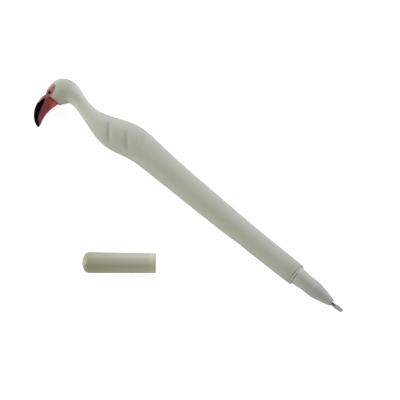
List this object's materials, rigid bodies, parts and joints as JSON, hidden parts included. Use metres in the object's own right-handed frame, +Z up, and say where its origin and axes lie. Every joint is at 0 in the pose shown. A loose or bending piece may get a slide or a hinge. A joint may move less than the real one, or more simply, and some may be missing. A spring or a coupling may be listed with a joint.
{
  "type": "ballpoint pen",
  "caption": "Novelty ballpoint pen with a soft sleeve moulded as a long-necked wading bird, a tapered nose and guarded tip, with its pull-off cap lying beside it.",
  "frame": {"origin": "middle of the footprint of the pen and its cap, on the table they lie on", "axes": "+X along the pen towards the writing tip, +Z up, the bird's beak towards -Y"},
  "size_m": [0.1918, 0.076, 0.0141],
  "materials": {
    "soft_white": "matte",
    "beak_pink": "satin",
    "eye_black": "gloss",
    "hard_white": "satin",
    "nose_frosted": "frosted",
    "refill_clear": "clear",
    "ink": "wet",
    "follower_grease": "wet",
    "tip_metal": "turned",
    "ball_metal": "polished",
    "guard_soft": "translucent",
    "cap_white": "matte"
  },
  "bodies": {
    "pen_body": {"flamingo_sleeve": "soft_white", "beak": "beak_pink", "eye_upper": "eye_black", "eye_lower": "eye_black", "inner_barrel": "hard_white", "pen_cap": "cap_white"},
    "nose": {"nose_section": "nose_frosted", "refill_tube": "refill_clear", "ink_column": "ink", "ink_follower": "follower_grease", "tip_holder": "refill_clear", "metal_tip": "tip_metal"},
    "ball": {"writing_ball": "ball_metal"},
    "guard": {"tip_protector": "guard_soft"}
  },
  "joints": [
    {"name": "nose_draw", "type": "slide", "parent": "pen_body", "child": "nose", "axis": [0.9999, 0, -0.011], "range_m": [0, 0.085]},
    {"name": "ball_roll", "type": "hinge", "parent": "nose", "child": "ball", "pos_m": [0.09401, 0.02832, 0.0052], "axis": [0, 1, 0], "continuous": true},
    {"name": "guard_pull", "type": "slide", "parent": "nose", "child": "guard", "axis": [0.9999, 0, -0.011], "range_m": [0, 0.01]}
  ]
}
